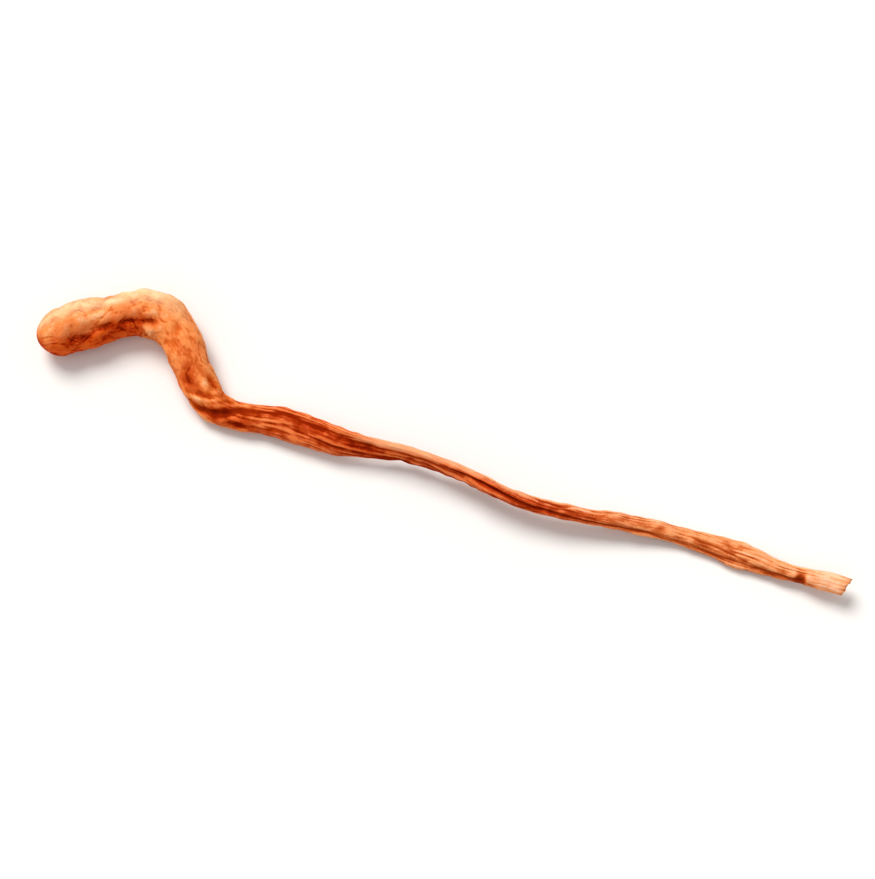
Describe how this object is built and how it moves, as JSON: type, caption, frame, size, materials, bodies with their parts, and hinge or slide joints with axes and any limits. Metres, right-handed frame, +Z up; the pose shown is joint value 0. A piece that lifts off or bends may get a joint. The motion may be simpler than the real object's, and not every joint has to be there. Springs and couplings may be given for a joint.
{
  "type": "dried cordyceps",
  "caption": "Dried cordyceps fruiting body lying on its side: thick hooked head, round neck and a long flattened, furrowed stem that twists half a turn to its cut end.",
  "frame": {"origin": "on the surface the piece rests on, under the middle of its box", "axes": "+X from the head to the cut end of the stem, +Z up, away from the surface it lies on"},
  "size_m": [0.0922, 0.0365, 0.0054],
  "materials": {
    "dried_skin": "dry matte"
  },
  "bodies": {
    "root": {"fruiting_body": "dried_skin"}
  },
  "joints": []
}
